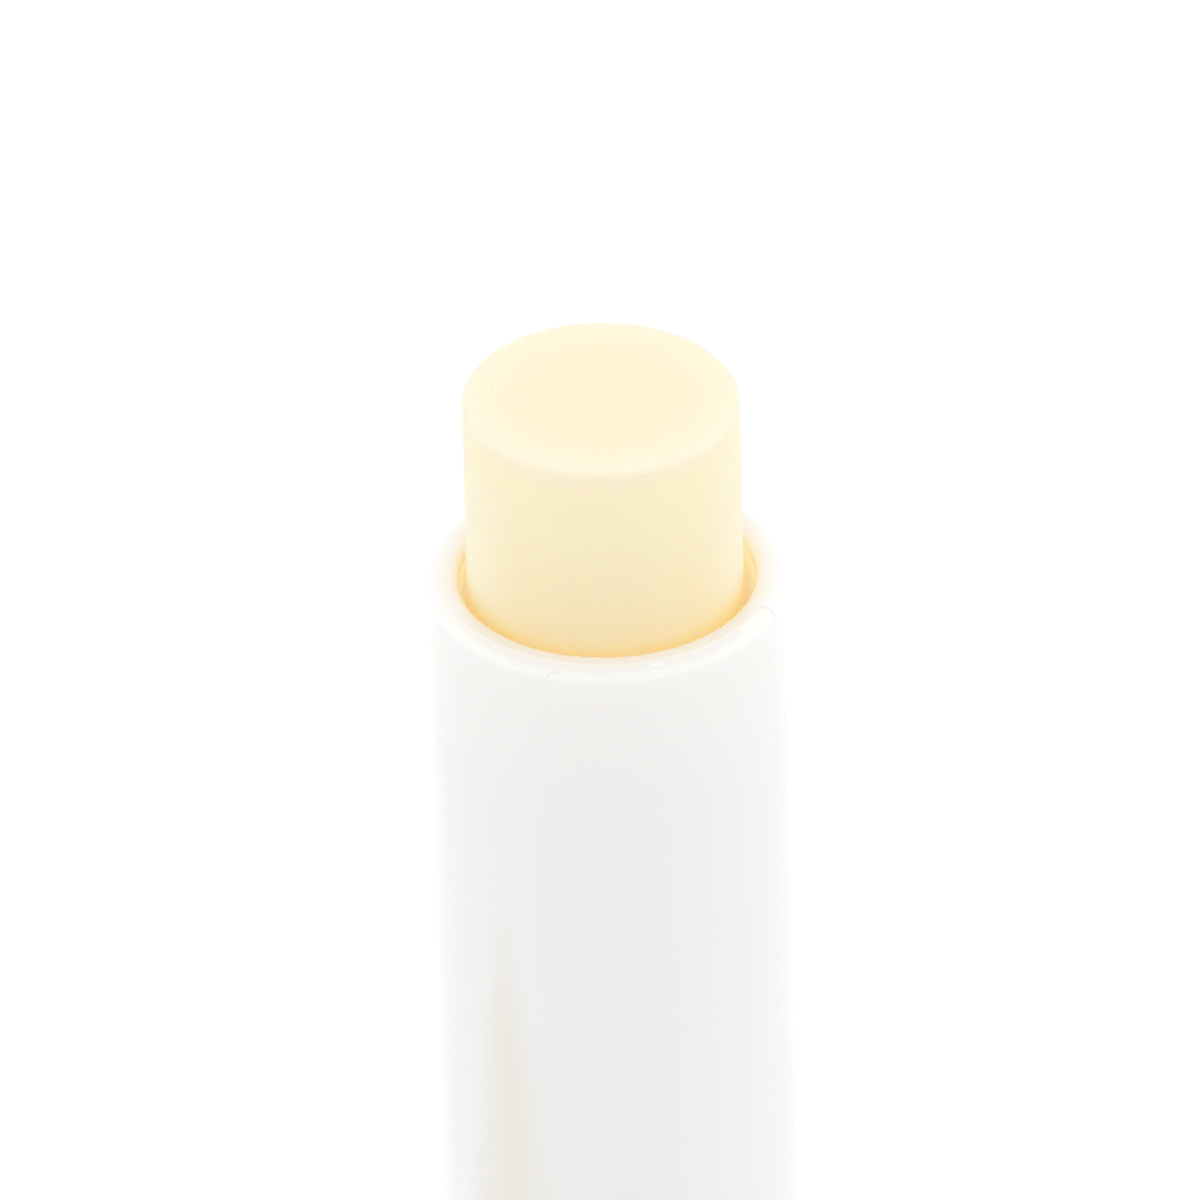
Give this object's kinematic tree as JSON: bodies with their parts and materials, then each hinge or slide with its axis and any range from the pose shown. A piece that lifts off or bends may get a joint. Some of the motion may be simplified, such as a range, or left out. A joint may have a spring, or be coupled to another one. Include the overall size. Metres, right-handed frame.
{
  "type": "lip balm stick",
  "caption": "White twist-up lip balm stick without its cap: long-necked barrel, turning wheel with screw spindle, and a carrier that raises a pale balm bullet.",
  "frame": {"origin": "centre of the turning wheel's base, on the stick's axis", "axes": "+Z along the stick's axis, from the turning wheel to the balm's top; +X through one of the guide ribs"},
  "size_m": [0.018, 0.018, 0.0771],
  "materials": {
    "barrel_plastic": "glossy white polypropylene",
    "wheel_plastic": "glossy white polypropylene",
    "carrier_plastic": "natural white polypropylene, as moulded",
    "balm_wax": "pale cream-yellow wax and oil balm, soft sheen"
  },
  "bodies": {
    "barrel": {"barrel": "barrel_plastic"},
    "wheel": {"turning_wheel": "wheel_plastic"},
    "lift": {"carrier": "carrier_plastic", "balm": "balm_wax"}
  },
  "joints": [
    {"name": "balm_rise", "type": "slide", "parent": "barrel", "child": "lift", "axis": [0, 0, 1], "range_m": [-0.0103, 0.0355]},
    {"name": "wheel_turn", "type": "hinge", "parent": "barrel", "child": "wheel", "pos_m": [0, 0, 0.004], "axis": [0, 0, 1], "range_deg": [-1160, 3996]}
  ],
  "couplings": [
    {"joint": "wheel_turn", "follows": "balm_rise", "rad_per_m": 1963.5}
  ]
}
